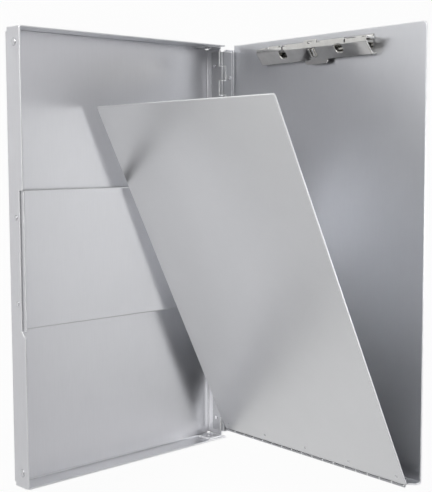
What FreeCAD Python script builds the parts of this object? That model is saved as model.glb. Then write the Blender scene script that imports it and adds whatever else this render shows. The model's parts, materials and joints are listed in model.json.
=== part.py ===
import FreeCAD, Part
import math
import os
import Sketcher

# Storage clipboard box, lying on the tray's back, in millimetres.
# Origin: centre of the tray's outer back face. +X runs from the fore edge to the spine,
# +Y towards the clip end, +Z up out of the tray.
# The cover, the writing plate and the clip jaw are drawn closed, each in a frame on its own
# hinge axis, and are turned to the open position by their placements.

# Driving sizes, each written once
SIZES = {
    # Whole box
    "tray_width": 236,
    "tray_length": 391,
    "tray_depth": 22,
    "sheet_thickness": 1.2,
    "bend_inner_radius": 1.0,
    "cut_overrun": 2,
    "running_gap": 0.3,
    "hole_clearance": 0.05,
    # Tray shell
    "spine_setback": 3.3,
    "corner_relief": 3.2,
    "tray_tab_length": 12,
    "tray_tab_lower": 3.4,
    "tray_tab_upper": 20.5,
    "end_tip_height": 6.6,
    "end_tip_nose": 3.6,
    "fore_notch_depth": 5,
    "rim_corner_radius": 2.5,
    # Retainer strap
    "strap_width": 119,
    "strap_top": 8.5,
    "strap_thickness": 1.0,
    "strap_spine_flange": 17,
    "strap_rivet_height": 11.8,
    "strap_rivet_spacing": 73,
    # Spine hinge
    "spine_leaf_thickness": 0.9,
    "spine_barrel_radius": 2.1,
    "spine_pin_radius": 1.0,
    "spine_barrel_length": 378,
    "spine_barrel_start": 7,
    "spine_knuckle_count": 27,
    "spine_leaf_width": 14,
    "spine_cover_leaf_width": 10,
    "spine_rivet_end_distance": 20,
    "cover_rivet_end_distance": 32,
    "spine_rivet_height": 13.2,
    # Cover
    "cover_width": 243,
    "cover_depth": 14,
    "cover_lower_setback": 11,
    "cover_corner_radius": 4,
    "cover_wall_start": 2.4,
    "cover_wall_end_relief": 4.2,
    "cover_flange_start": 3.3,
    "cover_flange_setback": 2.4,
    "cover_tab_length": 15,
    "cover_tab_edge": 4,
    "cover_opening_angle": 85,
    # Writing plate
    "plate_length": 351,
    "plate_thickness": 1.2,
    "plate_corner_radius": 1.5,
    "plate_spine_margin": 2.8,
    "plate_fore_margin": 5,
    "plate_lower_gap": 1.7,
    "plate_tilt_angle": 25,
    # Plate hinge
    "plate_leaf_thickness": 0.7,
    "plate_barrel_radius": 1.4,
    "plate_pin_radius": 0.6,
    "plate_barrel_start": 4,
    "plate_barrel_length": 232,
    "plate_knuckle_count": 17,
    "plate_axis_height": 1.6,
    "plate_cover_leaf_width": 10.4,
    "plate_leaf_width": 12,
    "plate_rivet_count": 5,
    "plate_rivet_end_distance": 6,
    "plate_rivet_height": 7.0,
    "plate_rivet_offset": 8.4,
    # Clip
    "clip_width": 139,
    "clip_centre": 120,
    "clip_rod_radius": 1.5,
    "clip_rod_from_top": 10,
    "clip_rod_height": 4,
    "clip_rod_overhang": 6,
    "clip_rod_inner_overhang": 2,
    "clip_base_thickness": 0.9,
    "clip_base_upper": 4.5,
    "clip_base_lower": 7.5,
    "clip_ear_radius": 2.6,
    "clip_ear_inset": 3.0,
    "clip_rivet_spacing": 38,
    "jaw_thickness": 1.0,
    "jaw_barrel_radius": 2.4,
    "jaw_knuckle_end": 64,
    "jaw_knuckle_length": 6,
    "jaw_band_lift": 4.2,
    "jaw_edge_up": 1.3,
    "jaw_fold_down": 2.6,
    "jaw_lip_down": 12.9,
    "jaw_lip_height": 3.6,
    "jaw_toe_return": 0.4,
    "jaw_tongue_width": 28.6,
    "jaw_tongue_length": 3.6,
    "jaw_hole_offset": 35.5,
    "jaw_hole_width": 9.5,
    "jaw_hole_upper": 1.8,
    "jaw_hole_lower": 9.0,
    "jaw_hole_corner": 3,
    # Lever and ribs of the jaw, a little towards the fore edge
    "lever_offset": 2.5,
    "lever_width": 17,
    "lever_root_width": 14,
    "lever_top": 4.3,
    "lever_corner": 1.2,
    "lever_knuckle_length": 3.2,
    "lever_slot_width": 8,
    "lever_slot_lower": 1.0,
    "lever_slot_upper": 2.9,
    "rib_width": 1.9,
    "rib_height": 1.3,
    "rib_spacing": 4.2,
    "rib_slot_upper": 3.1,
    "rib_slot_lower": 8.8,
    # Clip springs
    "spring_wire": 0.9,
    "spring_mean_radius": 2.6,
    "spring_pitch": 1.6,
    "spring_turns": 4,
    "spring_spine_start": 35,
    "spring_fore_start": 44.5,
    "spring_base_leg": 7.1,
    "spring_hook_gap": 0.1,
    "spring_hook_bend": 1.2,
    "spring_hook_leg": 2.9,
    # Rivets
    "rivet_shank_radius": 1.6,
    "rivet_head_radius": 3.4,
    "rivet_head_height": 1.3,
    "small_shank_radius": 1.2,
    "small_head_radius": 2.4,
    "small_head_height": 0.9,
    "low_head_height": 0.5,
    "corner_rivet_inset": 13,
    "corner_rivet_height": 13.5,
}

# Shares of a length or of a turn
RIB_START_SHARE = 0.08
RIB_END_SHARE = 0.72
PATH_STEP_SHARE = 0.5

doc = FreeCAD.newDocument("storage_clipboard_box")
sheet = doc.addObject("Spreadsheet::Sheet", "Sizes")


class Size:
    """A length or count with its value and the sheet expression that gives it."""

    def __init__(self, value, text):
        self.value = value
        self.text = text

    def __add__(self, other):
        other = as_size(other)
        return Size(self.value + other.value, f"({self.text} + {other.text})")

    def __sub__(self, other):
        other = as_size(other)
        return Size(self.value - other.value, f"({self.text} - {other.text})")

    def __mul__(self, other):
        other = as_size(other)
        return Size(self.value * other.value, f"({self.text} * {other.text})")

    def __truediv__(self, other):
        other = as_size(other)
        return Size(self.value / other.value, f"({self.text} / {other.text})")

    def __neg__(self):
        return Size(-self.value, f"(0 - {self.text})")

    def __radd__(self, other):
        return as_size(other) + self

    def __rsub__(self, other):
        return as_size(other) - self

    def __rmul__(self, other):
        return as_size(other) * self


def as_size(number):
    return number if isinstance(number, Size) else Size(number, str(number))


class Named:
    """The sheet's sizes by name."""


S = Named()
for row, (name, number) in enumerate(SIZES.items(), start=1):
    sheet.set(f"A{row}", name.replace("_", " "))
    sheet.set(f"B{row}", str(number))
    sheet.setAlias(f"B{row}", name)
    setattr(S, name, Size(number, f"Sizes.{name}"))
doc.recompute()

# Places and sizes worked out from the driving ones
half_width = S.tray_width / 2
half_length = S.tray_length / 2
bend_outer = S.bend_inner_radius + S.sheet_thickness
spine_axis_x = half_width - S.spine_setback
tray_wall_top = S.tray_depth - S.spine_barrel_radius - S.running_gap
end_wall_inner = half_length - S.sheet_thickness
spine_wall_inner = spine_axis_x - S.sheet_thickness
tray_leaf_inner = spine_axis_x - S.spine_barrel_radius
fore_wall_inner = half_width - S.sheet_thickness
panel_inner = S.cover_depth - S.sheet_thickness
cover_lower = S.cover_lower_setback - half_length
cover_upper = half_length
plate_axis_y = cover_lower - S.plate_barrel_radius
rod_y = cover_upper - S.clip_rod_from_top
base_face = panel_inner - S.clip_rod_height - S.clip_base_thickness
panel_from_rod = panel_inner - S.clip_rod_height


def plane(body, role):
    """The body's own origin plane or axis that has this role."""
    return next(item for item in body.Origin.OriginFeatures if item.Role == role)


def new_body(label):
    body = doc.addObject("PartDesign::Body", label)
    body.Label = label
    return body


def new_sketch(body, role, base=(0, 0, 0)):
    """A sketch on an origin plane, its own origin moved by base in the plane's axes."""
    sketch = body.newObject("Sketcher::SketchObject", body.Name + "_sketch")
    sketch.AttachmentSupport = [(plane(body, role), "")]
    sketch.MapMode = "FlatFace"
    for axis, length in zip("xyz", base):
        if isinstance(length, Size):
            sketch.setExpression("AttachmentOffset.Base." + axis, length.text)
    return sketch


def pin_point(sketch, geometry, vertex, x, y):
    """Hold one vertex of the sketch at (x, y)."""
    for kind, length in (("DistanceX", as_size(x)), ("DistanceY", as_size(y))):
        index = sketch.addConstraint(Sketcher.Constraint(kind, -1, 1, geometry, vertex, length.value))
        sketch.setExpression(f"Constraints[{index}]", length.text)


def hold(sketch, constraint, length):
    index = sketch.addConstraint(constraint)
    sketch.setExpression(f"Constraints[{index}]", length.text)


def vector(x, y):
    return FreeCAD.Vector(as_size(x).value, as_size(y).value, 0)


def outline(sketch, corners, arcs=None):
    """A closed outline through corners (x, y) or (x, y, radius).

    arcs gives, for the side that leaves a corner, the centre of its arc and whether it turns left.
    """
    arcs = arcs or {}
    count = len(corners)
    points = [vector(corner[0], corner[1]) for corner in corners]
    starts, ends = list(points), list(points)
    for i, corner in enumerate(corners):
        if len(corner) == 3:
            before = (points[i - 1] - points[i]).normalize()
            after = (points[(i + 1) % count] - points[i]).normalize()
            half_angle = before.getAngle(after) / 2
            reach = corner[2].value / math.tan(half_angle)
            ends[i] = points[i] + before * reach
            starts[i] = points[i] + after * reach
    sides = []
    for i in range(count):
        following = (i + 1) % count
        start, end = starts[i], ends[following]
        if i in arcs:
            centre = vector(*arcs[i][0])
            left = arcs[i][1]
            radius = (start - centre).Length
            first = math.atan2((start - centre).y, (start - centre).x)
            last = math.atan2((end - centre).y, (end - centre).x)
            if not left:
                first, last = last, first
            if last <= first:
                last += 2 * math.pi
            circle = Part.Circle(centre, FreeCAD.Vector(0, 0, 1), radius)
            side = sketch.addGeometry(Part.ArcOfCircle(circle, first, last))
            sides.append((side, 1 if left else 2, 2 if left else 1))
        else:
            sides.append((sketch.addGeometry(Part.LineSegment(start, end)), 1, 2))
    for i, corner in enumerate(corners):
        incoming, _, incoming_end = sides[i - 1]
        outgoing, outgoing_start, _ = sides[i]
        if len(corner) == 2:
            sketch.addConstraint(
                Sketcher.Constraint("Coincident", incoming, incoming_end, outgoing, outgoing_start)
            )
            pin_point(sketch, outgoing, outgoing_start, corner[0], corner[1])
        else:
            round_corner(sketch, corner, points[i], ends[i], starts[i], sides[i - 1], sides[i])
    for i, (centre, _) in arcs.items():
        chord = ends[(i + 1) % count] - starts[i]
        kind, length = ("DistanceX", centre[0]) if abs(chord.y) > abs(chord.x) else ("DistanceY", centre[1])
        length = as_size(length)
        hold(sketch, Sketcher.Constraint(kind, -1, 1, sides[i][0], 3, length.value), length)


def round_corner(sketch, corner, point, end, start, incoming, outgoing):
    """A tangent arc in place of the sharp corner, which stays as a construction point."""
    before = (end - point).normalize()
    after = (start - point).normalize()
    bisector = (before + after).normalize()
    radius = corner[2].value
    centre = point + bisector * (radius / math.sin(before.getAngle(after) / 2))
    turns_left = before.cross(after).z < 0
    first_point, last_point = (end, start) if turns_left else (start, end)
    first = math.atan2((first_point - centre).y, (first_point - centre).x)
    last = math.atan2((last_point - centre).y, (last_point - centre).x)
    if last <= first:
        last += 2 * math.pi
    circle = Part.Circle(centre, FreeCAD.Vector(0, 0, 1), radius)
    arc = sketch.addGeometry(Part.ArcOfCircle(circle, first, last))
    arc_in, arc_out = (1, 2) if turns_left else (2, 1)
    marker = sketch.addGeometry(Part.Point(point), True)
    pin_point(sketch, marker, 1, corner[0], corner[1])
    sketch.addConstraint(Sketcher.Constraint("PointOnObject", marker, 1, incoming[0]))
    sketch.addConstraint(Sketcher.Constraint("PointOnObject", marker, 1, outgoing[0]))
    sketch.addConstraint(Sketcher.Constraint("Tangent", incoming[0], incoming[2], arc, arc_in))
    sketch.addConstraint(Sketcher.Constraint("Tangent", arc, arc_out, outgoing[0], outgoing[1]))
    hold(sketch, Sketcher.Constraint("Radius", arc, radius), corner[2])


def rectangle(sketch, low, high):
    outline(sketch, [(low[0], low[1]), (high[0], low[1]), (high[0], high[1]), (low[0], high[1])])


def circle(sketch, x, y, radius):
    shape = Part.Circle(vector(x, y), FreeCAD.Vector(0, 0, 1), radius.value)
    index = sketch.addGeometry(shape)
    pin_point(sketch, index, 3, x, y)
    hold(sketch, Sketcher.Constraint("Radius", index, radius.value), radius)


def sheet_section(sketch, points, thickness, left=True):
    """A bent sheet's section: its outer face through points, and parallel inner faces."""
    outer = [vector(*point) for point in points]
    side = 1 if left else -1
    normals = []
    for start, end in zip(outer, outer[1:]):
        along = (end - start).normalize()
        normals.append(FreeCAD.Vector(-along.y * side, along.x * side, 0))
    inner = [outer[0] + normals[0] * thickness.value]
    for point, before, after in zip(outer[1:-1], normals, normals[1:]):
        inner.append(point + (before + after) * (thickness.value / (1 + before.dot(after))))
    inner.append(outer[-1] + normals[-1] * thickness.value)

    def chain(places):
        return [
            sketch.addGeometry(Part.LineSegment(start, end)) for start, end in zip(places, places[1:])
        ]

    outer_lines, inner_lines = chain(outer), chain(inner)
    start_cap = sketch.addGeometry(Part.LineSegment(outer[0], inner[0]))
    end_cap = sketch.addGeometry(Part.LineSegment(outer[-1], inner[-1]))
    for lines in (outer_lines, inner_lines):
        for line, following in zip(lines, lines[1:]):
            sketch.addConstraint(Sketcher.Constraint("Coincident", line, 2, following, 1))
    for cap, vertex, end in ((start_cap, 1, 0), (end_cap, 2, -1)):
        sketch.addConstraint(Sketcher.Constraint("Coincident", outer_lines[end], vertex, cap, 1))
        sketch.addConstraint(Sketcher.Constraint("Coincident", inner_lines[end], vertex, cap, 2))
        sketch.addConstraint(Sketcher.Constraint("Perpendicular", cap, outer_lines[end]))
    for index, point in enumerate(points):
        line, vertex = (outer_lines[index], 1) if index < len(outer_lines) else (outer_lines[-1], 2)
        pin_point(sketch, line, vertex, point[0], point[1])
    for line, follower in zip(outer_lines, inner_lines):
        sketch.addConstraint(Sketcher.Constraint("Parallel", line, follower))
        hold(sketch, Sketcher.Constraint("Distance", follower, 1, line, thickness.value), thickness)


def extrude(kind, body, sketch, length, symmetric, backwards):
    feature = body.newObject(kind, body.Name + "_" + kind.split("::")[1].lower())
    feature.Profile = sketch
    feature.Length = length.value
    feature.setExpression("Length", length.text)
    feature.SideType = "Symmetric" if symmetric else "One side"
    feature.Reversed = backwards
    return feature


def pad(body, sketch, length, symmetric=False, backwards=False):
    return extrude("PartDesign::Pad", body, sketch, length, symmetric, backwards)


def pocket(body, sketch, length, symmetric=True, backwards=False):
    doc.recompute()
    before = body.Shape.Volume
    feature = extrude("PartDesign::Pocket", body, sketch, length, symmetric, backwards)
    doc.recompute()
    if not body.Shape.Volume < before:
        raise RuntimeError(feature.Name + " cuts nothing")
    return feature


def mirror(body, features, role):
    feature = body.newObject("PartDesign::Mirrored", body.Name + "_mirror")
    feature.Originals = features
    feature.MirrorPlane = (plane(body, role), [""])
    body.Tip = feature
    return feature


def row(body, features, role, length, count):
    """Copies of the features along an axis, the last one this length from the first."""
    feature = body.newObject("PartDesign::LinearPattern", body.Name + "_row")
    feature.Originals = features
    feature.Direction = (plane(body, role), [""])
    feature.Length = length.value
    feature.setExpression("Length", length.text)
    feature.Occurrences = int(round(count.value))
    feature.setExpression("Occurrences", count.text)
    body.Tip = feature
    return feature


def cylinder(label, radius, length, base, direction):
    """A round bar whose lower end stands at base."""
    bar = doc.addObject("Part::Cylinder", label)
    bar.Label = label
    bar.Radius = radius.value
    bar.setExpression("Radius", radius.text)
    bar.Height = length.value
    bar.setExpression("Height", length.text)
    turn = FreeCAD.Rotation(FreeCAD.Vector(0, 0, 1), direction)
    bar.Placement = FreeCAD.Placement(FreeCAD.Vector(*[as_size(part).value for part in base]), turn)
    return bar


# Rivets: a domed head, a shank through the sheets and an upset tail, turned about their axis
def rivet(body, role, place, stack, outward, shank, head, height, tail_height=None):
    """One rivet along the sketch's horizontal axis, its head seated at place.

    outward is 1 or -1, the way the head points.
    """
    tail_height = tail_height or height
    sketch = new_sketch(body, role, place)
    tail = (shank + head) / 2
    sphere = (head * head + height * height) / (height * 2)
    corners = [
        (outward * height, 0),
        (0, head),
        (0, shank),
        (-outward * stack, shank),
        (-outward * stack, tail),
        (-outward * (stack + tail_height), tail),
        (-outward * (stack + tail_height), 0),
    ]
    centre = (outward * (height - sphere), 0)
    outline(sketch, corners, {0: (centre, outward > 0)})
    turned = body.newObject("PartDesign::Revolution", body.Name + "_turned")
    turned.Profile = sketch
    turned.ReferenceAxis = (sketch, ["H_Axis"])
    turned.Angle = 360
    return turned


# Hinge leaf: a strip, necks tangent to the barrel and rolled knuckles with a bore
def hinge_leaf(label, role, axis, centre, leaf, barrel, pin, width, start, knuckle, gap, first, count,
               along_second, direction, side):
    """centre is the pin's place in the section plane.

    along_second tells whether the leaf runs along the plane's second axis; direction is the way it
    runs, and side the side of the pin that it lies on.
    """
    body = new_body(label)
    backwards = role == "XZ_Plane"

    def point(reach, offset):
        run, lean = reach * direction, offset * side
        if along_second:
            return (centre[0] + lean, centre[1] + run)
        return (centre[0] + run, centre[1] + lean)

    def section(place):
        return new_sketch(body, role, (0, 0, -place if backwards else place))

    strip = section(start)
    near = barrel + S.running_gap
    outline(strip, [point(near, barrel - leaf), point(width, barrel - leaf), point(width, barrel),
                    point(near, barrel)])
    total = knuckle["pitch"] * knuckle["total"]
    pad(body, strip, total, backwards=backwards)
    place = start + knuckle["pitch"] * first + gap / 2
    length = knuckle["pitch"] - gap
    neck_sketch = section(place)
    outline(neck_sketch, [point(0, barrel - leaf), point(near + leaf, barrel - leaf),
                          point(near + leaf, barrel), point(0, barrel)])
    neck = pad(body, neck_sketch, length, backwards=backwards)
    ring_sketch = section(place)
    circle(ring_sketch, centre[0], centre[1], barrel)
    circle(ring_sketch, centre[0], centre[1], pin + S.hole_clearance)
    ring = pad(body, ring_sketch, length, backwards=backwards)
    row(body, [neck, ring], axis, knuckle["pitch"] * 2 * (count - 1), count)
    return body


def drill(body, role, at, places, radius):
    """Round holes through a sheet that lies at this height over the plane."""
    sketch = new_sketch(body, role, (0, 0, at))
    for x, y in places:
        circle(sketch, x, y, radius + S.hole_clearance)
    return pocket(body, sketch, (S.cut_overrun + S.sheet_thickness) * 2)


# Tray shell
def make_tray_shell():
    body = new_body("tray_shell")
    trough = new_sketch(body, "XZ_Plane")
    outline(trough, [
        (-half_width, 0, bend_outer),
        (spine_axis_x, 0, bend_outer),
        (spine_axis_x, tray_wall_top),
        (spine_wall_inner, tray_wall_top),
        (spine_wall_inner, S.sheet_thickness, S.bend_inner_radius),
        (-fore_wall_inner, S.sheet_thickness, S.bend_inner_radius),
        (-fore_wall_inner, S.tray_depth),
        (-half_width, S.tray_depth),
    ])
    pad(body, trough, (half_length - S.corner_relief) * 2, symmetric=True)
    fore_wall = new_sketch(body, "YZ_Plane", (0, 0, -half_width))
    outline(fore_wall, [
        (-half_length, S.corner_relief),
        (half_length, S.corner_relief),
        (half_length, S.tray_depth, S.rim_corner_radius),
        (-half_length, S.tray_depth, S.rim_corner_radius),
    ])
    pad(body, fore_wall, S.sheet_thickness)
    # End wall with its bend, between the fore edge and the spine
    end_section = new_sketch(body, "YZ_Plane", (0, 0, S.corner_relief - half_width))
    outline(end_section, [
        (half_length, 0, bend_outer),
        (half_length, S.tray_depth),
        (end_wall_inner, S.tray_depth),
        (end_wall_inner, S.sheet_thickness, S.bend_inner_radius),
        (half_length - S.corner_relief * 2, S.sheet_thickness),
        (half_length - S.corner_relief * 2, 0),
    ])
    end_length = half_width + spine_axis_x - S.corner_relief * 2
    end_wall = pad(body, end_section, end_length)
    # Upper part of the end wall, out to the tips that cover the barrel's ends
    end_face = new_sketch(body, "XZ_Plane", (0, 0, -half_length))
    outline(end_face, [
        (-fore_wall_inner, S.corner_relief),
        (spine_axis_x, S.corner_relief),
        (spine_axis_x, S.tray_depth - S.end_tip_height),
        (half_width, S.tray_depth - S.end_tip_nose),
        (half_width, S.tray_depth),
        (-fore_wall_inner, S.tray_depth),
    ])
    face = pad(body, end_face, S.sheet_thickness)
    # Tab folded along the fore-edge wall
    fore_tab = new_sketch(body, "YZ_Plane", (0, 0, -fore_wall_inner))
    rectangle(fore_tab, (end_wall_inner - S.tray_tab_length - S.tray_tab_length / 2, S.tray_tab_lower),
              (end_wall_inner, S.tray_tab_upper))
    tab = pad(body, fore_tab, S.sheet_thickness)
    # Tab of the spine wall folded along the end wall
    spine_tab = new_sketch(body, "XZ_Plane", (0, 0, -end_wall_inner))
    rectangle(spine_tab, (spine_wall_inner - S.tray_tab_length - S.tray_tab_length / 3, S.tray_tab_lower),
              (spine_axis_x, tray_wall_top))
    inner_tab = pad(body, spine_tab, S.sheet_thickness)
    # Spine wall beyond the relief, up to its folded tab
    wall_end = new_sketch(body, "YZ_Plane", (0, 0, spine_wall_inner))
    rectangle(wall_end, (half_length - S.corner_relief * 2, S.tray_tab_lower),
              (end_wall_inner, tray_wall_top))
    last_wall = pad(body, wall_end, S.sheet_thickness)
    mirror(body, [end_wall, face, tab, inner_tab, last_wall], "XZ_Plane")
    # Notch in the fore-edge rim, one end square and one bevelled
    notch = new_sketch(body, "YZ_Plane", (0, 0, -half_width))
    notch_floor = S.tray_depth - S.fore_notch_depth
    over_rim = S.tray_depth + S.cut_overrun
    half_strap = S.strap_width / 2
    outline(notch, [
        (-half_strap - S.fore_notch_depth - S.cut_overrun, over_rim),
        (-half_strap, notch_floor),
        (half_strap, notch_floor),
        (half_strap, over_rim),
    ])
    pocket(body, notch, S.sheet_thickness * 2 + S.cut_overrun)
    corner_rivet_y = half_length - S.corner_rivet_inset
    drill(body, "YZ_Plane", -half_width, [
        (corner_rivet_y, S.corner_rivet_height),
        (-corner_rivet_y, S.corner_rivet_height),
    ], S.rivet_shank_radius)
    spine_rivet_x = spine_wall_inner - S.tray_tab_length + S.sheet_thickness
    for end in (-1, 1):
        drill(body, "XZ_Plane", end * half_length, [(spine_rivet_x, S.corner_rivet_height)],
              S.rivet_shank_radius)
    strap_rivet_y = S.strap_rivet_spacing / 2
    strap_places = [(strap_rivet_y, S.strap_rivet_height), (-strap_rivet_y, S.strap_rivet_height)]
    drill(body, "YZ_Plane", -half_width, strap_places, S.small_shank_radius)
    drill(body, "YZ_Plane", spine_axis_x, strap_places + spine_rivet_places(), S.small_shank_radius)
    return body


def spine_rivet_places():
    """Places of the leaf rivets along the spine, as (y, height over the tray's back)."""
    outer = half_length - S.spine_rivet_end_distance
    return [(side * outer / share, S.spine_rivet_height) for share in (1, 2) for side in (1, -1)]


def make_retainer_strap():
    body = new_body("retainer_strap")
    bend = S.strap_thickness + S.bend_inner_radius
    section = new_sketch(body, "XZ_Plane")
    under = S.strap_top - S.strap_thickness
    spine_face = tray_leaf_inner
    outline(section, [
        (-fore_wall_inner, under, bend),
        (spine_face, under, bend),
        (spine_face, S.strap_spine_flange),
        (spine_face - S.strap_thickness, S.strap_spine_flange),
        (spine_face - S.strap_thickness, S.strap_top, S.bend_inner_radius),
        (S.strap_thickness - fore_wall_inner, S.strap_top, S.bend_inner_radius),
        (S.strap_thickness - fore_wall_inner, S.tray_depth),
        (-fore_wall_inner, S.tray_depth),
    ])
    pad(body, section, S.strap_width, symmetric=True)
    strap_rivet_y = S.strap_rivet_spacing / 2
    places = [(strap_rivet_y, S.strap_rivet_height), (-strap_rivet_y, S.strap_rivet_height)]
    drill(body, "YZ_Plane", -fore_wall_inner, places, S.small_shank_radius)
    drill(body, "YZ_Plane", spine_face, places, S.small_shank_radius)
    return body


def make_tray_corner_rivets():
    body = new_body("tray_corner_rivets")
    stack = S.sheet_thickness * 2
    size = (S.rivet_shank_radius, S.rivet_head_radius, S.rivet_head_height)
    inset = half_length - S.corner_rivet_inset
    fore = rivet(body, "XY_Plane", (-half_width, inset, S.corner_rivet_height), stack, -1, *size)
    spine_rivet_x = spine_wall_inner - S.tray_tab_length + S.sheet_thickness
    spine = rivet(body, "YZ_Plane", (half_length, S.corner_rivet_height, spine_rivet_x), stack, 1, *size)
    mirror(body, [fore, spine], "XZ_Plane")
    return body


def make_retainer_rivets():
    body = new_body("retainer_rivets")
    size = (S.small_shank_radius, S.small_head_radius, S.small_head_height)
    half_row = S.strap_rivet_spacing / 2
    fore_stack = S.sheet_thickness + S.strap_thickness
    spine_stack = fore_stack + S.spine_leaf_thickness
    fore = rivet(body, "XY_Plane", (-half_width, half_row, S.strap_rivet_height), fore_stack, -1, *size)
    spine = rivet(body, "XY_Plane", (spine_axis_x, half_row, S.strap_rivet_height), spine_stack, 1, *size)
    mirror(body, [fore, spine], "XZ_Plane")
    return body


# Spine hinge
spine_knuckle = {"pitch": S.spine_barrel_length / S.spine_knuckle_count, "total": S.spine_knuckle_count}
spine_start = S.spine_barrel_start - half_length


def make_spine_tray_leaf():
    body = hinge_leaf(
        "spine_hinge_tray_leaf", "XZ_Plane", "Y_Axis", (spine_axis_x, S.tray_depth),
        S.spine_leaf_thickness, S.spine_barrel_radius, S.spine_pin_radius, S.spine_leaf_width,
        spine_start, spine_knuckle, S.running_gap, 1, (S.spine_knuckle_count - 1) / 2,
        along_second=True, direction=-1, side=-1)
    half_row = S.strap_rivet_spacing / 2
    places = [(half_row, S.strap_rivet_height), (-half_row, S.strap_rivet_height)]
    drill(body, "YZ_Plane", spine_wall_inner, places + spine_rivet_places(), S.small_shank_radius)
    return body


def make_spine_cover_leaf():
    body = hinge_leaf(
        "spine_hinge_cover_leaf", "XZ_Plane", "Y_Axis", (as_size(0), as_size(0)),
        S.spine_leaf_thickness, S.spine_barrel_radius, S.spine_pin_radius, S.spine_cover_leaf_width,
        spine_start, spine_knuckle, S.running_gap, 0, (S.spine_knuckle_count + 1) / 2,
        along_second=True, direction=1, side=-1)
    drill(body, "YZ_Plane", -S.sheet_thickness, cover_rivet_places(), S.small_shank_radius)
    # Corner cut away for the folded tab of the cover's spine wall
    corner = new_sketch(body, "YZ_Plane", (0, 0, -S.sheet_thickness))
    rectangle(corner, (spine_start - S.cut_overrun, S.cover_tab_edge - S.running_gap),
              (cover_lower + S.sheet_thickness * 2 + S.running_gap, S.spine_cover_leaf_width + S.cut_overrun))
    pocket(body, corner, (S.cut_overrun + S.sheet_thickness) * 2)
    return body


def cover_rivet_places():
    """Places of the leaf rivets on the cover's spine wall, as (y, height over the pin)."""
    outer = half_length - S.cover_rivet_end_distance
    height = S.spine_cover_leaf_width - S.small_head_radius - S.running_gap
    return [(side * outer / share, height) for share in (1, 2) for side in (1, -1)] + [(as_size(0), height)]


def make_leaf_rivets(label, places, face_x, stack):
    body = new_body(label)
    size = (S.small_shank_radius, S.small_head_radius, S.low_head_height)
    upper = [
        rivet(body, "XY_Plane", (face_x, y, height), stack, 1, *size)
        for y, height in places if y.value > 0
    ]
    middle = [place for place in places if place[0].value == 0]
    mirror(body, upper, "XZ_Plane")
    for y, height in middle:
        rivet(body, "XY_Plane", (face_x, y, height), stack, 1, *size)
        body.Tip = body.Group[-1]
    return body


# Cover, in a frame on the spine pin: x towards the spine, z outward from the closed tray's rim
def make_cover_shell():
    body = new_body("cover_shell")
    lower = cover_lower + S.corner_relief
    wall_top = cover_upper - S.cover_wall_end_relief
    section = new_sketch(body, "XZ_Plane", (0, 0, -lower))
    outline(section, [
        (-S.cover_flange_setback * 2, panel_inner),
        (-S.sheet_thickness, panel_inner, S.bend_inner_radius),
        (-S.sheet_thickness, S.cover_wall_start),
        (0, S.cover_wall_start),
        (0, S.cover_depth, bend_outer),
        (-S.cover_flange_setback * 2, S.cover_depth),
    ])
    pad(body, section, wall_top - lower, backwards=True)
    panel = new_sketch(body, "XY_Plane", (0, 0, panel_inner))
    outline(panel, [
        (-S.cover_width, lower),
        (-S.cover_flange_setback, lower),
        (-S.cover_flange_setback, cover_upper),
        (-S.cover_width, cover_upper, S.cover_corner_radius),
    ])
    pad(body, panel, S.sheet_thickness)
    flange = new_sketch(body, "YZ_Plane", (0, 0, -S.cover_width))
    outline(flange, [
        (lower + S.sheet_thickness, panel_inner),
        (lower + S.sheet_thickness, S.cover_depth),
        (cover_lower, S.cover_depth, bend_outer),
        (cover_lower, S.cover_flange_start),
        (cover_lower + S.sheet_thickness, S.cover_flange_start),
        (cover_lower + S.sheet_thickness, panel_inner, S.bend_inner_radius),
    ])
    pad(body, flange, S.cover_width - S.cover_flange_setback)
    # Rounded lower corner of the fore edge
    corner = new_sketch(body, "XZ_Plane", (0, 0, -cover_lower))
    outline(corner, [
        (-S.cover_width - S.cut_overrun, S.cover_flange_start - S.cut_overrun),
        (-S.cover_width + S.cover_corner_radius, S.cover_flange_start - S.cut_overrun),
        (-S.cover_width + S.cover_corner_radius, S.cover_flange_start),
        (-S.cover_width, S.cover_flange_start + S.cover_corner_radius),
        (-S.cover_width - S.cut_overrun, S.cover_flange_start + S.cover_corner_radius),
    ])
    pocket(body, corner, S.sheet_thickness * 2 + S.cut_overrun)
    # Tab of the spine wall folded along the flange
    tab = new_sketch(body, "XZ_Plane", (0, 0, -cover_lower - S.sheet_thickness))
    rectangle(tab, (-S.cover_tab_length, S.cover_tab_edge), (0, panel_inner - S.bend_inner_radius))
    pad(body, tab, S.sheet_thickness, backwards=True)
    wall_end = new_sketch(body, "YZ_Plane", (0, 0, -S.sheet_thickness))
    rectangle(wall_end, (cover_lower + S.sheet_thickness, S.cover_tab_edge),
              (lower + S.sheet_thickness, panel_inner - S.bend_inner_radius))
    pad(body, wall_end, S.sheet_thickness)
    drill(body, "YZ_Plane", as_size(0), cover_rivet_places(), S.small_shank_radius)
    rivets = [(x, S.plate_rivet_height + S.plate_axis_height) for x in plate_rivet_places()]
    drill(body, "XZ_Plane", -cover_lower - S.sheet_thickness, rivets, S.small_shank_radius)
    clip_places = [(x - S.clip_centre, rod_y) for x in clip_rivet_places()]
    drill(body, "XY_Plane", S.cover_depth, clip_places, S.small_shank_radius)
    return body


# Plate hinge
plate_knuckle = {"pitch": S.plate_barrel_length / S.plate_knuckle_count, "total": S.plate_knuckle_count}
plate_start = -S.plate_barrel_start - S.plate_barrel_length


def plate_rivet_places():
    """Rivet places along the plate hinge, from the spine corner to the fore edge."""
    first = -S.plate_barrel_start - S.plate_rivet_end_distance
    pitch = (S.plate_barrel_length - S.plate_rivet_end_distance * 2) / (S.plate_rivet_count - 1)
    return [first - pitch * index for index in range(int(S.plate_rivet_count.value))]


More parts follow.
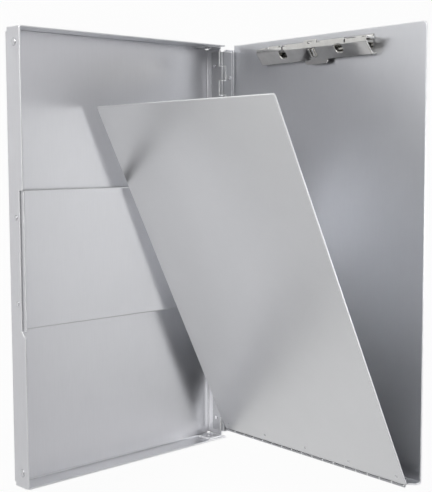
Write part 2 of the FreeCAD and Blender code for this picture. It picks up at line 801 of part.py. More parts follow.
def make_plate_cover_leaf():
    body = hinge_leaf(
        "plate_hinge_cover_leaf", "YZ_Plane", "X_Axis", (plate_axis_y, S.plate_axis_height),
        S.plate_leaf_thickness, S.plate_barrel_radius, S.plate_pin_radius, S.plate_cover_leaf_width,
        plate_start, plate_knuckle, S.running_gap, 0, (S.plate_knuckle_count + 1) / 2,
        along_second=True, direction=1, side=1)
    places = [(x, S.plate_rivet_height + S.plate_axis_height) for x in plate_rivet_places()]
    drill(body, "XZ_Plane", -cover_lower, places, S.small_shank_radius)
    return body


def make_plate_hinge_cover_rivets():
    body = new_body("plate_hinge_cover_rivets")
    stack = S.sheet_thickness + S.plate_leaf_thickness
    size = (S.small_shank_radius, S.small_head_radius, S.low_head_height)
    height = S.plate_rivet_height + S.plate_axis_height
    places = plate_rivet_places()
    first = rivet(body, "YZ_Plane", (cover_lower - S.plate_leaf_thickness, height, places[-1]),
                  stack, -1, *size)
    row(body, [first], "X_Axis", places[1] - places[-1], S.plate_rivet_count - 1)
    return body


def make_cover_corner_rivet():
    body = new_body("cover_corner_rivet")
    stack = S.sheet_thickness * 2 + S.plate_leaf_thickness
    size = (S.small_shank_radius, S.small_head_radius, S.low_head_height)
    height = S.plate_rivet_height + S.plate_axis_height
    rivet(body, "YZ_Plane", (cover_lower - S.plate_leaf_thickness, height, plate_rivet_places()[0]),
          stack, -1, *size)
    return body


# Writing plate, in a frame on the plate hinge's pin
plate_back = S.plate_barrel_radius - S.plate_leaf_thickness


def make_plate_leaf():
    body = hinge_leaf(
        "plate_hinge_plate_leaf", "YZ_Plane", "X_Axis", (as_size(0), as_size(0)),
        S.plate_leaf_thickness, S.plate_barrel_radius, S.plate_pin_radius, S.plate_leaf_width,
        plate_start, plate_knuckle, S.running_gap, 1, (S.plate_knuckle_count - 1) / 2,
        along_second=False, direction=1, side=1)
    places = [(x, S.plate_rivet_offset) for x in plate_rivet_places()]
    drill(body, "XY_Plane", plate_back, places, S.small_shank_radius)
    return body


def make_writing_plate():
    body = new_body("writing_plate")
    face = new_sketch(body, "XY_Plane", (0, 0, plate_back - S.plate_thickness))
    spine_side = -S.plate_spine_margin
    fore_side = S.plate_fore_margin - S.cover_width
    outline(face, [
        (fore_side, S.plate_lower_gap, S.plate_corner_radius),
        (spine_side, S.plate_lower_gap, S.plate_corner_radius),
        (spine_side, S.plate_length, S.plate_corner_radius),
        (fore_side, S.plate_length, S.plate_corner_radius),
    ])
    pad(body, face, S.plate_thickness)
    places = [(x, S.plate_rivet_offset) for x in plate_rivet_places()]
    drill(body, "XY_Plane", plate_back, places, S.small_shank_radius)
    return body


def make_plate_hinge_plate_rivets():
    """Rivets with a low head on the leaf and a flush foot in the plate."""
    body = new_body("plate_hinge_plate_rivets")
    places = plate_rivet_places()
    sketch = new_sketch(body, "YZ_Plane", (S.plate_rivet_offset, plate_back, places[-1]))
    head, height = S.small_head_radius, S.low_head_height
    leaf = S.plate_leaf_thickness
    outline(sketch, [
        (0, -S.plate_thickness),
        (S.small_shank_radius, -S.plate_thickness),
        (S.small_shank_radius, leaf),
        (head, leaf),
        (head / 2, leaf + height),
        (0, leaf + height),
    ])
    turned = body.newObject("PartDesign::Revolution", "plate_rivet_turned")
    turned.Profile = sketch
    turned.ReferenceAxis = (sketch, ["V_Axis"])
    turned.Angle = 360
    row(body, [turned], "X_Axis", places[0] - places[-1], S.plate_rivet_count)
    return body


# Clip, in a frame on its rod: x towards the spine, y up the cover, z outward to the panel
def clip_rivet_places():
    return [-S.clip_rivet_spacing, as_size(0), S.clip_rivet_spacing]


def make_clip_base():
    body = new_body("clip_base")
    half_base = S.clip_width / 2 - S.clip_ear_inset
    strip = new_sketch(body, "XY_Plane", (0, 0, base_face))
    rectangle(strip, (-half_base, -S.clip_base_lower), (half_base, S.clip_base_upper))
    pad(body, strip, S.clip_base_thickness)
    ear = new_sketch(body, "YZ_Plane", (0, 0, half_base - S.clip_base_thickness))
    radius = S.clip_ear_radius
    outline(ear, [
        (-radius, 0),
        (radius, 0),
        (radius, base_face + S.clip_base_thickness),
        (-radius, base_face + S.clip_base_thickness),
    ], {0: ((as_size(0), as_size(0)), True)})
    circle(ear, as_size(0), as_size(0), S.clip_rod_radius + S.hole_clearance)
    ear_pad = pad(body, ear, S.clip_base_thickness)
    mirror(body, [ear_pad], "YZ_Plane")
    drill(body, "XY_Plane", base_face, [(x, as_size(0)) for x in clip_rivet_places()], S.small_shank_radius)
    return body


def make_clip_rivets():
    """Three rivets along z: a low dome on the panel's outside and a tail on the base."""
    body = new_body("clip_rivets")
    outside = panel_from_rod + S.sheet_thickness
    sketch = new_sketch(body, "YZ_Plane", (0, outside, -S.clip_rivet_spacing))
    stack = S.sheet_thickness + S.clip_base_thickness
    head, height = S.small_head_radius, S.low_head_height
    shank = S.small_shank_radius
    sphere = (head * head + height * height) / (height * 2)
    tail = (shank + head) / 2
    outline(sketch, [
        (0, -stack - height),
        (tail, -stack - height),
        (tail, -stack),
        (shank, -stack),
        (shank, 0),
        (head, 0),
        (0, height),
    ], {5: ((as_size(0), height - sphere), True)})
    turned = body.newObject("PartDesign::Revolution", "clip_rivet_turned")
    turned.Profile = sketch
    turned.ReferenceAxis = (sketch, ["V_Axis"])
    turned.Angle = 360
    row(body, [turned], "X_Axis", S.clip_rivet_spacing * 2, as_size(3))
    return body


def make_clip_jaw():
    body = new_body("clip_jaw")
    # Band before the rod, the fold, the slanting face, the lip and the toe turned to the panel
    edge = (S.jaw_edge_up, -S.jaw_band_lift)
    fold = (-S.jaw_fold_down, -S.jaw_band_lift)
    lip = (-S.jaw_lip_down, S.jaw_lip_height)
    toe = (S.jaw_toe_return - S.jaw_lip_down, panel_from_rod - S.running_gap)
    faces = new_sketch(body, "YZ_Plane")
    sheet_section(faces, [edge, fold, lip, toe], S.jaw_thickness, left=False)
    pad(body, faces, S.clip_width, symmetric=True)
    # Rolled knuckles and the necks that join them to the band, a pair at the ends and one by the lever
    lever_reach = S.lever_width / 2 - S.running_gap
    pairs = (
        (-S.jaw_knuckle_end, S.jaw_knuckle_length, S.jaw_knuckle_end * 2 - S.jaw_knuckle_length),
        (-S.lever_offset - lever_reach, S.lever_knuckle_length, lever_reach * 2 - S.lever_knuckle_length),
    )
    bend = (S.jaw_barrel_radius, S.jaw_barrel_radius - S.jaw_band_lift)
    for start, length, spacing in pairs:
        neck_sketch = new_sketch(body, "YZ_Plane", (0, 0, start))
        sheet_section(neck_sketch, [(S.jaw_barrel_radius, 0), bend, edge], S.jaw_thickness, left=False)
        neck = pad(body, neck_sketch, length)
        roll_sketch = new_sketch(body, "YZ_Plane", (0, 0, start))
        circle(roll_sketch, as_size(0), as_size(0), S.jaw_barrel_radius)
        roll = pad(body, roll_sketch, length)
        row(body, [neck, roll], "X_Axis", spacing, as_size(2))
    bore = new_sketch(body, "YZ_Plane")
    circle(bore, as_size(0), as_size(0), S.clip_rod_radius + S.hole_clearance)
    pocket(body, bore, S.clip_width)
    # Thumb lever above the band, wider towards its end, with a slot at its root
    lever = new_sketch(body, "XY_Plane", (0, 0, -S.jaw_band_lift))
    outline(lever, [
        (-S.lever_offset - S.lever_root_width / 2, 0),
        (-S.lever_offset + S.lever_root_width / 2, 0),
        (-S.lever_offset + S.lever_width / 2, S.lever_top, S.lever_corner),
        (-S.lever_offset - S.lever_width / 2, S.lever_top, S.lever_corner),
    ])
    pad(body, lever, S.jaw_thickness)
    slot_corner = (S.lever_slot_upper - S.lever_slot_lower) / 3
    slot = new_sketch(body, "XY_Plane", (0, 0, -S.jaw_band_lift))
    rounded_window(slot, -S.lever_offset, S.lever_slot_width, S.lever_slot_lower, S.lever_slot_upper,
                   slot_corner)
    pocket(body, slot, S.jaw_thickness * 2 + S.running_gap)
    # Rounded tongue below the lip
    half_tongue = S.jaw_tongue_width / 2
    tongue = new_sketch(body, "XY_Plane", (0, 0, S.jaw_lip_height))
    tongue_root = S.jaw_thickness / 2 - S.jaw_lip_down
    tongue_end = -S.jaw_lip_down - S.jaw_tongue_length
    outline(tongue, [
        (-S.lever_offset - half_tongue, tongue_end, S.jaw_tongue_length),
        (-S.lever_offset + half_tongue, tongue_end, S.jaw_tongue_length),
        (-S.lever_offset + half_tongue, tongue_root),
        (-S.lever_offset - half_tongue, tongue_root),
    ])
    pad(body, tongue, S.jaw_thickness)
    # Two ribs down the slanting face, with a slot between them
    for side in (-1, 1):
        rib = new_sketch(body, "YZ_Plane", (0, 0, -S.lever_offset + S.rib_spacing * side / 2))
        ends = [tuple(start + (end - start) * share for start, end in zip(fold, lip))
                for share in (RIB_START_SHARE, RIB_END_SHARE)]
        sheet_section(rib, ends, S.rib_height, left=True)
        pad(body, rib, S.rib_width, symmetric=True)
    # Finger holes from the fold down the slanting face, and the slot between the ribs
    holes = new_sketch(body, "XY_Plane")
    for side in (-1, 1):
        rounded_window(holes, S.jaw_hole_offset * side, S.jaw_hole_width, -S.jaw_hole_lower,
                       -S.jaw_hole_upper, S.jaw_hole_corner)
    rounded_window(holes, -S.lever_offset, S.rib_spacing - S.rib_width, -S.rib_slot_lower,
                   -S.rib_slot_upper, S.rib_width / 3)
    pocket(body, holes, S.clip_width)
    return body


def rounded_window(sketch, middle, width, lower, upper, corner):
    outline(sketch, [
        (middle - width / 2, lower, corner),
        (middle + width / 2, lower, corner),
        (middle + width / 2, upper, corner),
        (middle - width / 2, upper, corner),
    ])


def helix_point(start, side, turn):
    """Place and direction on the spring's coil after this many turns."""
    radius = S.spring_mean_radius.value
    pitch = S.spring_pitch.value
    angle = 2 * math.pi * turn
    place = FreeCAD.Vector(
        side * (start + pitch * turn), radius * math.cos(angle), radius * math.sin(angle))
    rate = 2 * math.pi * radius
    way = FreeCAD.Vector(side * pitch, -rate * math.sin(angle), rate * math.cos(angle))
    return place, way.normalize()


def biarc(start, start_way, end, end_way):
    """Two tangent arcs from one place and direction to another."""
    chord = end - start
    ways = start_way + end_way
    spread = 2 * (1 - start_way.dot(end_way))
    along = chord.dot(ways)
    reach = (math.sqrt(along * along + spread * chord.dot(chord)) - along) / spread
    first_peak = start + start_way * reach
    last_peak = end - end_way * reach
    joint = (first_peak + last_peak) / 2
    edges = []
    for foot, peak, tip in ((start, first_peak, joint), (joint, last_peak, end)):
        chord_middle = (foot + tip) / 2
        height = (chord_middle - peak).Length
        slant = (foot - peak).Length
        radius = slant * math.sqrt(slant * slant - height * height) / height
        to_centre = slant * slant / height
        crown = peak + (chord_middle - peak).normalize() * (to_centre - radius)
        edges.append(Part.Arc(foot, crown, tip).toShape())
    return edges


def make_clip_spring(label, side, start):
    """Torsion spring: a hook over the jaw's band, four turns and a leg to the base."""
    turns = [index * PATH_STEP_SHARE for index in range(int(S.spring_turns.value / PATH_STEP_SHARE) + 1)]
    places = [helix_point(start, side, turn) for turn in turns]
    first, first_way = places[0]
    wire_radius = S.spring_wire.value / 2
    bend = S.spring_hook_bend.value
    hook_face = -S.jaw_band_lift.value - S.spring_hook_gap.value - wire_radius
    up = FreeCAD.Vector(0, 1, 0)
    # The hook's arm keeps the slight slant of the coil's first turn
    arm_end = first - first_way * ((bend + hook_face) / -first_way.z)
    corner = arm_end - first_way * (bend / first_way.z)
    hook_end = corner - up * bend
    tip = hook_end - up * S.spring_hook_leg.value
    last, last_way = places[-1]
    edges = [Part.LineSegment(tip, hook_end).toShape()]
    edges += biarc(hook_end, up, arm_end, first_way)
    edges.append(Part.LineSegment(arm_end, first).toShape())
    for (here, way), (there, next_way) in zip(places, places[1:]):
        edges += biarc(here, way, there, next_way)
    edges.append(Part.LineSegment(last, last + last_way * S.spring_base_leg.value).toShape())
    path = Part.Wire(edges)
    section = Part.Wire([Part.Circle(tip, up, wire_radius).toShape()])
    tube = path.makePipeShell([section], True, False)
    spring = doc.addObject("Part::Feature", label)
    spring.Label = label
    spring.Shape = tube
    expected = math.pi * wire_radius ** 2 * path.Length
    print(label, "volume over section times length", round(tube.Volume / expected, 4))
    gap = least_coil_gap(start, side) - S.spring_wire.value
    print(label, "least gap between turns", round(gap, 3), "mm")
    return spring


def least_coil_gap(start, side):
    """Least distance between points of the coil that lie more than half a turn apart."""
    points_per_turn = 24
    last = int(S.spring_turns.value) * points_per_turn
    points = [helix_point(start, side, index / points_per_turn)[0] for index in range(last + 1)]
    return min(
        (points[i] - points[j]).Length
        for i in range(len(points)) for j in range(i + points_per_turn // 2 + 1, len(points)))


# Placements of the moving pieces
def along(x, y, z):
    return FreeCAD.Placement(
        FreeCAD.Vector(as_size(x).value, as_size(y).value, as_size(z).value), FreeCAD.Rotation())


def turned(direction, angle):
    return FreeCAD.Placement(FreeCAD.Vector(), FreeCAD.Rotation(FreeCAD.Vector(*direction), angle))


cover_place = along(spine_axis_x, 0, S.tray_depth).multiply(turned((0, 1, 0), S.cover_opening_angle.value))
plate_place = cover_place.multiply(along(0, plate_axis_y, S.plate_axis_height)).multiply(
    turned((-1, 0, 0), S.plate_tilt_angle.value))
clip_place = cover_place.multiply(along(-S.clip_centre, rod_y, S.clip_rod_height))

tray_pieces = [
    make_tray_shell(),
    make_tray_corner_rivets(),
    make_retainer_strap(),
    make_retainer_rivets(),
    make_spine_tray_leaf(),
    make_leaf_rivets("spine_hinge_tray_rivets", spine_rivet_places(), spine_axis_x,
                     S.sheet_thickness + S.spine_leaf_thickness),
    cylinder("spine_hinge_pin", S.spine_pin_radius, S.spine_barrel_length,
             (spine_axis_x, spine_start, S.tray_depth), FreeCAD.Vector(0, 1, 0)),
]
cover_pieces = [
    make_cover_shell(),
    make_cover_corner_rivet(),
    make_spine_cover_leaf(),
    make_leaf_rivets("spine_hinge_cover_rivets", cover_rivet_places(), as_size(0),
                     S.sheet_thickness + S.spine_leaf_thickness),
    make_plate_cover_leaf(),
    make_plate_hinge_cover_rivets(),
    cylinder("plate_hinge_pin", S.plate_pin_radius, S.plate_barrel_length,
             (plate_start, plate_axis_y, S.plate_axis_height), FreeCAD.Vector(1, 0, 0)),
]
plate_pieces = [
    make_writing_plate(),
    make_plate_leaf(),
    make_plate_hinge_plate_rivets(),
]
rod_start = -S.clip_width / 2 - S.clip_rod_overhang
rod_length = S.clip_width + S.clip_rod_overhang + S.clip_rod_inner_overhang
clip_pieces = [
    make_clip_base(),
    make_clip_rivets(),
    cylinder("clip_rod", S.clip_rod_radius, rod_length, (rod_start, 0, 0), FreeCAD.Vector(1, 0, 0)),
    make_clip_jaw(),
    make_clip_spring("clip_spring_spine_side", 1, S.spring_spine_start.value),
    make_clip_spring("clip_spring_fore_side", -1, S.spring_fore_start.value),
]
for pieces, place in ((cover_pieces, cover_place), (plate_pieces, plate_place), (clip_pieces, clip_place)):
    for piece in pieces:
        piece.Placement = place.multiply(piece.Placement)
doc.recompute()

# Every object is sound before any file is written
nodes = tray_pieces + cover_pieces + plate_pieces + clip_pieces
for item in doc.Objects:
    if "Invalid" in item.State or "Error" in item.State:
        raise RuntimeError(f"{item.Name} failed: {item.State}")
for piece in nodes:
    if piece.Shape.isNull() or not piece.Shape.isValid():
        raise RuntimeError(piece.Label + " has no valid shape")
os.makedirs("parts", exist_ok=True)
for piece in nodes:
    piece.Shape.exportStep(f"parts/{piece.Label}.step")
    print(piece.Label, "solids", len(piece.Shape.Solids), "volume", round(piece.Shape.Volume, 1))
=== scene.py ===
import json
import math

import bpy
from mathutils import Matrix, Vector


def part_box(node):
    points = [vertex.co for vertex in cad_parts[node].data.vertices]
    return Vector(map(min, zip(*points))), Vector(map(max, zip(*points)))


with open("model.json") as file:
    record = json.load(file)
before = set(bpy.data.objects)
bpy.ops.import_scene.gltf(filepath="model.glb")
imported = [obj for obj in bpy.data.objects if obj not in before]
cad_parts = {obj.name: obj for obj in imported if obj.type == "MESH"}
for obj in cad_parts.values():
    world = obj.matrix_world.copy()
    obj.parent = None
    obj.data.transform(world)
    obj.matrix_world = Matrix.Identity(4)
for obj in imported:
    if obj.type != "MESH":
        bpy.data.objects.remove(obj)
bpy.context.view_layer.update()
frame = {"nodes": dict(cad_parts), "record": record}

# Lengths are in metres, in the frame of the lying tray: +X to the spine, +Y to the clip end, +Z up
MM = 0.001
DEGREE = math.pi / 180

# How far the writing plate is tilted out of the cover at rest
PLATE_TILT = 25 * DEGREE

# Camera at the photograph's viewing angle
IMAGE_WIDTH = 432
FOCAL_PIXELS = 1026.9
SENSOR_WIDTH = 36
CAMERA_PLACE = Vector((-593.3, 88.3, 749.7)) * MM
VIEW_DIRECTION = Vector((0.6896, -0.0878, -0.7188)).normalized()
CAMERA_ROLL = -0.22 * DEGREE
NEAREST_SHOWN = 0.01
FARTHEST_SHOWN = 50


def make_camera():
    data = bpy.data.cameras.new("camera")
    data.sensor_fit = "HORIZONTAL"
    data.sensor_width = SENSOR_WIDTH
    data.lens = SENSOR_WIDTH * FOCAL_PIXELS / IMAGE_WIDTH
    data.clip_start = NEAREST_SHOWN
    data.clip_end = FARTHEST_SHOWN
    camera = bpy.data.objects.new("camera", data)
    bpy.context.scene.collection.objects.link(camera)
    right = VIEW_DIRECTION.cross(Vector((0, 1, 0))).normalized()
    up = right.cross(VIEW_DIRECTION)
    turn = Matrix((right, up, -VIEW_DIRECTION)).transposed().to_4x4()
    roll = Matrix.Rotation(CAMERA_ROLL, 4, "Z")
    camera.matrix_world = Matrix.Translation(CAMERA_PLACE) @ turn @ roll
    bpy.context.scene.camera = camera


# Rounding that the shading gives to edges, and how many rays look for it and for the shade painted
# into creases
SHEET_EDGE_RADIUS = 1.5 * MM
PLATED_EDGE_RADIUS = SHEET_EDGE_RADIUS / 2
SHADING_SAMPLES = 8

# A highlight painted on a sheet's cut edge, which is also duller, and the cosines of the rounding's
# turn where the highlight starts and is full
EDGE_HIGHLIGHT_COLOUR = (0.98, 0.985, 0.99)
EDGE_ROUGHNESS = 0.60
EDGE_HIGHLIGHT_COSINES = (0.995, 0.90)

# How open to its surroundings a point is where the shade painted into a crease is darkest and where it
# ends
PAINTED_SHADE_OPENNESS = (0.35, 0.9)

# Values of a noise between which most of its surface lies
NOISE_RANGE = (0.3, 0.7)

# Sheet metal: grain along +Y, clouding, and the share of the grain in the mixed tone
GRAIN_SCALE = (2200, 60, 2200)
CLOUD_SCALE = 16.0
GRAIN_SHARE = 0.45
TONE_RANGE = (0.34, 0.66)
ROUGHNESS_SPREAD = (-0.02, 0.03)
# Reach and darkest tone of the shade painted into a sheet's creases
SHEET_PAINTED_SHADE_REACH = 3 * MM
SHEET_PAINTED_SHADE_TONE = 0.45

# Plated metal: haze, wiping marks along +X, and the roughness as a multiple of its plain value
HAZE_SCALE = 120.0
MARKS_SCALE = (300, 3000, 300)
MARKS_STRENGTH = 0.05
HAZE_ROUGHNESS = (0.7, 1.4)

# Height of grain and marks
RELIEF = 0.1 * MM


class Nodes:
    """The node tree of a material or world, with short calls for its nodes and links."""

    def __init__(self, owner):
        owner.use_nodes = True
        self.tree = owner.node_tree

    def given(self, name):
        """A node that the tree had from the start."""
        return self.tree.nodes[name]

    def add(self, kind, **settings):
        """A new node: a setting is one of its properties or else a value of its input."""
        node = self.tree.nodes.new(kind)
        for key, value in settings.items():
            if hasattr(node, key):
                setattr(node, key, value)
            else:
                node.inputs[key.replace("_", " ")].default_value = value
        return node

    def link(self, source, target):
        self.tree.links.new(source, target)

    def noise(self, place, scale=1.0, detail=4.0, roughness=0.6):
        node = self.add("ShaderNodeTexNoise", Scale=scale, Detail=detail, Roughness=roughness)
        self.link(place, node.inputs["Vector"])
        return node.outputs["Fac"]

    def ramp(self, source, stops):
        """A colour ramp through (position, colour) stops."""
        node = self.add("ShaderNodeValToRGB")
        for element, (position, colour) in zip(node.color_ramp.elements, stops):
            element.position = position
            element.color = (*colour, 1)
        self.link(source, node.inputs["Fac"])
        return node.outputs["Color"]

    def map_range(self, value, start, end, curve="LINEAR"):
        """The value moved from the range start to the range end, and kept inside it."""
        node = self.add("ShaderNodeMapRange", interpolation_type=curve, From_Min=start[0],
                        From_Max=start[1], To_Min=end[0], To_Max=end[1])
        self.link(value, node.inputs["Value"])
        return node.outputs["Result"]

    def paint_crease_shade(self, colour, reach, darkest):
        """The colour with shade painted in: darker where another face stands closer than the reach."""
        near = self.add("ShaderNodeAmbientOcclusion", samples=SHADING_SAMPLES, Distance=reach)
        share = self.map_range(near.outputs["AO"], PAINTED_SHADE_OPENNESS, (darkest, 1))
        shaded = self.add("ShaderNodeVectorMath", operation="SCALE")
        self.link(colour, shaded.inputs["Vector"])
        self.link(share, shaded.inputs["Scale"])
        return shaded.outputs["Vector"]

    def rounded_normal(self, radius):
        edge = self.add("ShaderNodeBevel", samples=SHADING_SAMPLES, Radius=radius)
        return edge.outputs["Normal"]

    def edge_highlight_share(self, rounded):
        """How near a cut edge is, from 0 on a flat face to 1 on the edge itself: the share of the
        painted highlight and of the duller roughness.
        """
        face = self.add("ShaderNodeNewGeometry")
        turned = self.add("ShaderNodeVectorMath", operation="DOT_PRODUCT")
        self.link(rounded, turned.inputs[0])
        self.link(face.outputs["Normal"], turned.inputs[1])
        return self.map_range(turned.outputs["Value"], EDGE_HIGHLIGHT_COSINES, (0, 1))

    def relief(self, height, strength, normal):
        """The normal, tilted by the slopes of a height."""
        bump = self.add("ShaderNodeBump", Strength=strength, Distance=RELIEF)
        self.link(height, bump.inputs["Height"])
        self.link(normal, bump.inputs["Normal"])
        return bump.outputs["Normal"]

    def coordinates(self, turn=(0, 0, 0), scale=(1, 1, 1)):
        """Object coordinates turned into a sheet's own directions and then scaled along them."""
        place = self.add("ShaderNodeTexCoord")
        turned = self.add("ShaderNodeMapping", vector_type="TEXTURE", Rotation=turn)
        self.link(place.outputs["Object"], turned.inputs["Vector"])
        scaled = self.add("ShaderNodeMapping", Scale=scale)
        self.link(turned.outputs["Vector"], scaled.inputs["Vector"])
        return scaled.outputs["Vector"]

    def seen_directly(self):
        """1 for a ray from the camera, also behind glass, and 0 for any other."""
        rays = self.add("ShaderNodeLightPath")
        seen = self.add("ShaderNodeMath", operation="ADD")
        self.link(rays.outputs["Is Camera Ray"], seen.inputs[0])
        self.link(rays.outputs["Is Transmission Ray"], seen.inputs[1])
        return seen.outputs["Value"]


def sheet_metal(name, light, dark, roughness, turn=(0, 0, 0), grain=0.05):
    """Satin sheet aluminium: rolling grain along its length, faint clouding, shade painted into
    creases, and a highlight painted on its duller cut edges.
    """
    material = bpy.data.materials.new(name)
    nodes = Nodes(material)
    shader = nodes.given("Principled BSDF")
    fine = nodes.noise(nodes.coordinates(turn, GRAIN_SCALE))
    cloud = nodes.noise(nodes.coordinates(turn), CLOUD_SCALE, detail=5.0, roughness=0.55)
    tone = nodes.add("ShaderNodeMix", data_type="FLOAT", Factor=GRAIN_SHARE)
    nodes.link(cloud, tone.inputs["A"])
    nodes.link(fine, tone.inputs["B"])
    colour = nodes.ramp(tone.outputs["Result"], zip(TONE_RANGE, (dark, light)))
    # Shade painted into the colour where other faces stand close
    colour = nodes.paint_crease_shade(colour, SHEET_PAINTED_SHADE_REACH, SHEET_PAINTED_SHADE_TONE)
    rough = nodes.map_range(cloud, NOISE_RANGE, [roughness + step for step in ROUGHNESS_SPREAD])
    rounded = nodes.rounded_normal(SHEET_EDGE_RADIUS)
    highlight_share = nodes.edge_highlight_share(rounded)
    # A highlight painted on the cut edges, where the roughness is also duller
    painted_highlight = nodes.add("ShaderNodeMix", data_type="RGBA", B=(*EDGE_HIGHLIGHT_COLOUR, 1))
    nodes.link(highlight_share, painted_highlight.inputs["Factor"])
    nodes.link(colour, painted_highlight.inputs["A"])
    nodes.link(painted_highlight.outputs["Result"], shader.inputs["Base Color"])
    duller = nodes.add("ShaderNodeMix", data_type="FLOAT", B=EDGE_ROUGHNESS)
    nodes.link(highlight_share, duller.inputs["Factor"])
    nodes.link(rough, duller.inputs["A"])
    nodes.link(duller.outputs["Result"], shader.inputs["Roughness"])
    nodes.link(nodes.relief(fine, grain, rounded), shader.inputs["Normal"])
    shader.inputs["Metallic"].default_value = 1.0
    return material


def plated_metal(name, light, dark, roughness, painted_shade_reach=1.5 * MM, painted_shade_tone=0.25):
    """Bright plating with faint haze, fine wiping marks and shade painted into its creases."""
    material = bpy.data.materials.new(name)
    nodes = Nodes(material)
    shader = nodes.given("Principled BSDF")
    haze = nodes.noise(nodes.coordinates(), HAZE_SCALE)
    marks = nodes.noise(nodes.coordinates(scale=MARKS_SCALE), detail=3.0)
    colour = nodes.ramp(haze, zip(NOISE_RANGE, (dark, light)))
    # Shade painted into the colour where other faces stand close
    colour = nodes.paint_crease_shade(colour, painted_shade_reach, painted_shade_tone)
    nodes.link(colour, shader.inputs["Base Color"])
    rough = nodes.map_range(haze, NOISE_RANGE, [roughness * share for share in HAZE_ROUGHNESS])
    nodes.link(rough, shader.inputs["Roughness"])
    rounded = nodes.rounded_normal(PLATED_EDGE_RADIUS)
    nodes.link(nodes.relief(marks, MARKS_STRENGTH, rounded), shader.inputs["Normal"])
    shader.inputs["Metallic"].default_value = 1.0
    return material


def make_materials():
    """The material of each slot that the record names."""
    tray = sheet_metal("tray_sheet", light=(0.845, 0.847, 0.868), dark=(0.795, 0.797, 0.818),
                       roughness=0.30)
    cover = sheet_metal("cover_sheet", light=(0.85, 0.86, 0.885), dark=(0.81, 0.82, 0.845),
                        roughness=0.30)
    plate = sheet_metal("plate_sheet", light=(0.87, 0.875, 0.88), dark=(0.83, 0.835, 0.84),
                        roughness=0.38, turn=(-PLATE_TILT, 0, 0), grain=0.03)
    leaf = sheet_metal("hinge_metal", light=(0.56, 0.565, 0.58), dark=(0.45, 0.455, 0.47),
                       roughness=0.30)
    rivet = plated_metal("rivet_metal", light=(0.82, 0.82, 0.84), dark=(0.72, 0.72, 0.74),
                         roughness=0.20)
    # The clip's painted crease shade reaches further and goes darker, so that its interior looks
    # shaded
    clip = plated_metal("clip_plating", light=(0.86, 0.85, 0.82), dark=(0.76, 0.75, 0.72),
                        roughness=0.07, painted_shade_reach=3 * MM, painted_shade_tone=0.12)
    wire = plated_metal("wire_plating", light=(0.80, 0.80, 0.80), dark=(0.66, 0.66, 0.66),
                        roughness=0.22)
    pin = plated_metal("pin_steel", light=(0.66, 0.66, 0.67), dark=(0.54, 0.54, 0.55),
                       roughness=0.30)
    return {"tray_sheet": tray, "cover_sheet": cover, "plate_sheet": plate, "hinge_leaves": leaf,
            "rivets": rivet, "clip_steel": clip, "clip_wire": wire, "pins": pin}


def dress_nodes():
    """Give each CAD node its material; the nodes themselves stay as they are."""
    materials = make_materials()
    for part in frame["record"]["subparts"]:
        slot = part["material_slot"]
        piece = frame["nodes"][part["node"]]
        piece.data.materials.clear()
        piece.data.materials.append(materials[slot])


# Floor, a hair under the tray's back face, and how much of it camera and mirrored rays see as white
FLOOR_REACH = 6.0
FLOOR_DROP = 0.2 * MM
FLOOR_GREY = 0.8
FLOOR_ROUGHNESS = 0.9
FLOOR_SHOWN_SHARE = 0.95
FLOOR_MIRRORED_SHARE = 0.25

# World: the side that is bright, the cosines to it between which it brightens, and its strengths
BRIGHT_SIDE = Vector((0.95, 0.1, 0.3)).normalized()
BRIGHT_COSINES = (0.3, 1.0)
WORLD_STRENGTHS = (0.24, 0.8)
WORLD_COLOUR = (0.975, 0.975, 1.0, 1)
WHITE = (1, 1, 1, 1)

# What the lamps point at
BOX_MIDDLE = (0, 0, 0.1)
BELOW_MIDDLE = (0, -0.1, 0.1)
PLATE_LONG_EDGE = (0.08, 0, 0.245)


def make_floor():
    tray_low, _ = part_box("tray_shell")
    mesh = bpy.data.meshes.new("floor")
    corners = [(-FLOOR_REACH, -FLOOR_REACH, 0), (FLOOR_REACH, -FLOOR_REACH, 0),
               (FLOOR_REACH, FLOOR_REACH, 0), (-FLOOR_REACH, FLOOR_REACH, 0)]
    mesh.from_pydata(corners, [], [(0, 1, 2, 3)])
    floor = bpy.data.objects.new("floor", mesh)
    bpy.context.scene.collection.objects.link(floor)
    floor.location.z = tray_low.z - FLOOR_DROP
    material = bpy.data.materials.new("floor")
    nodes = Nodes(material)
    shader = nodes.given("Principled BSDF")
    shader.inputs["Base Color"].default_value = (FLOOR_GREY, FLOOR_GREY, FLOOR_GREY, 1)
    shader.inputs["Roughness"].default_value = FLOOR_ROUGHNESS
    glow = nodes.add("ShaderNodeEmission", Color=WHITE, Strength=1.0)
    shown = nodes.add("ShaderNodeMath", operation="MULTIPLY")
    shown.inputs[1].default_value = FLOOR_SHOWN_SHARE
    nodes.link(nodes.seen_directly(), shown.inputs[0])
    rays = nodes.add("ShaderNodeLightPath")
    share = nodes.add("ShaderNodeMath", operation="MULTIPLY_ADD")
    share.inputs[1].default_value = FLOOR_MIRRORED_SHARE
    nodes.link(rays.outputs["Is Glossy Ray"], share.inputs[0])
    nodes.link(shown.outputs["Value"], share.inputs[2])
    mix = nodes.add("ShaderNodeMixShader")
    nodes.link(share.outputs["Value"], mix.inputs["Fac"])
    nodes.link(shader.outputs["BSDF"], mix.inputs[1])
    nodes.link(glow.outputs["Emission"], mix.inputs[2])
    nodes.link(mix.outputs["Shader"], nodes.given("Material Output").inputs["Surface"])
    mesh.materials.append(material)


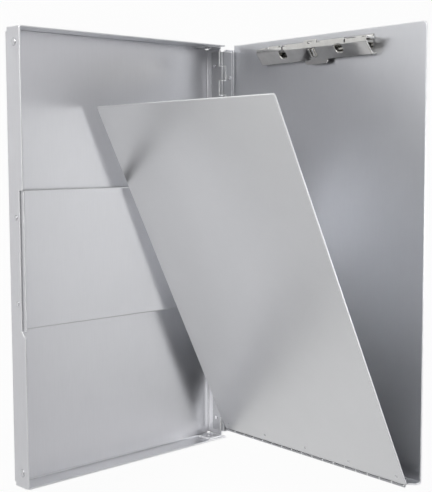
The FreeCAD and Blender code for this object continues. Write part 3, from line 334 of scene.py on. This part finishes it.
def make_world():
    """A studio that is bright behind the cover and dim elsewhere, and plain white to the camera."""
    world = bpy.data.worlds.new("world")
    nodes = Nodes(world)
    studio = nodes.given("Background")
    studio.inputs["Color"].default_value = WORLD_COLOUR
    place = nodes.add("ShaderNodeTexCoord")
    side = nodes.add("ShaderNodeVectorMath", operation="DOT_PRODUCT")
    side.inputs[1].default_value = BRIGHT_SIDE
    nodes.link(place.outputs["Generated"], side.inputs[0])
    strength = nodes.map_range(side.outputs["Value"], BRIGHT_COSINES, WORLD_STRENGTHS, "SMOOTHSTEP")
    nodes.link(strength, studio.inputs["Strength"])
    backdrop = nodes.add("ShaderNodeBackground", Color=WHITE, Strength=1.0)
    mix = nodes.add("ShaderNodeMixShader")
    nodes.link(nodes.seen_directly(), mix.inputs["Fac"])
    nodes.link(studio.outputs["Background"], mix.inputs[1])
    nodes.link(backdrop.outputs["Background"], mix.inputs[2])
    nodes.link(mix.outputs["Shader"], nodes.given("World Output").inputs["Surface"])
    bpy.context.scene.world = world


def area_light(name, place, target, size, power):
    """A lamp turned to its target: its width and height are in metres and its power in watts."""
    data = bpy.data.lights.new(name, "AREA")
    data.shape = "RECTANGLE"
    data.size, data.size_y = size
    data.energy = power
    lamp = bpy.data.objects.new(name, data)
    bpy.context.scene.collection.objects.link(lamp)
    lamp.location = place
    lamp.rotation_euler = (Vector(target) - Vector(place)).to_track_quat("-Z", "Y").to_euler()


def make_lights():
    """Three lamps on the camera's side, and one behind the cover that lights the plate's long edge."""
    area_light("lower_side", place=(-0.80, -0.82, 1.00), target=BOX_MIDDLE, size=(1.2, 0.9), power=3.3)
    area_light("clip_side", place=(-0.95, 0.80, 0.45), target=BOX_MIDDLE, size=(0.9, 0.6), power=10.5)
    area_light("low_front", place=(-0.66, -0.46, 0.88), target=BELOW_MIDDLE, size=(0.35, 0.25),
               power=0.2)
    area_light("rim", place=(1.12, 0, 0.845), target=PLATE_LONG_EDGE, size=(0.3, 0.45), power=3.0)


make_camera()
make_world()
make_lights()
make_floor()
dress_nodes()

bpy.context.scene.view_settings.view_transform = "Standard"
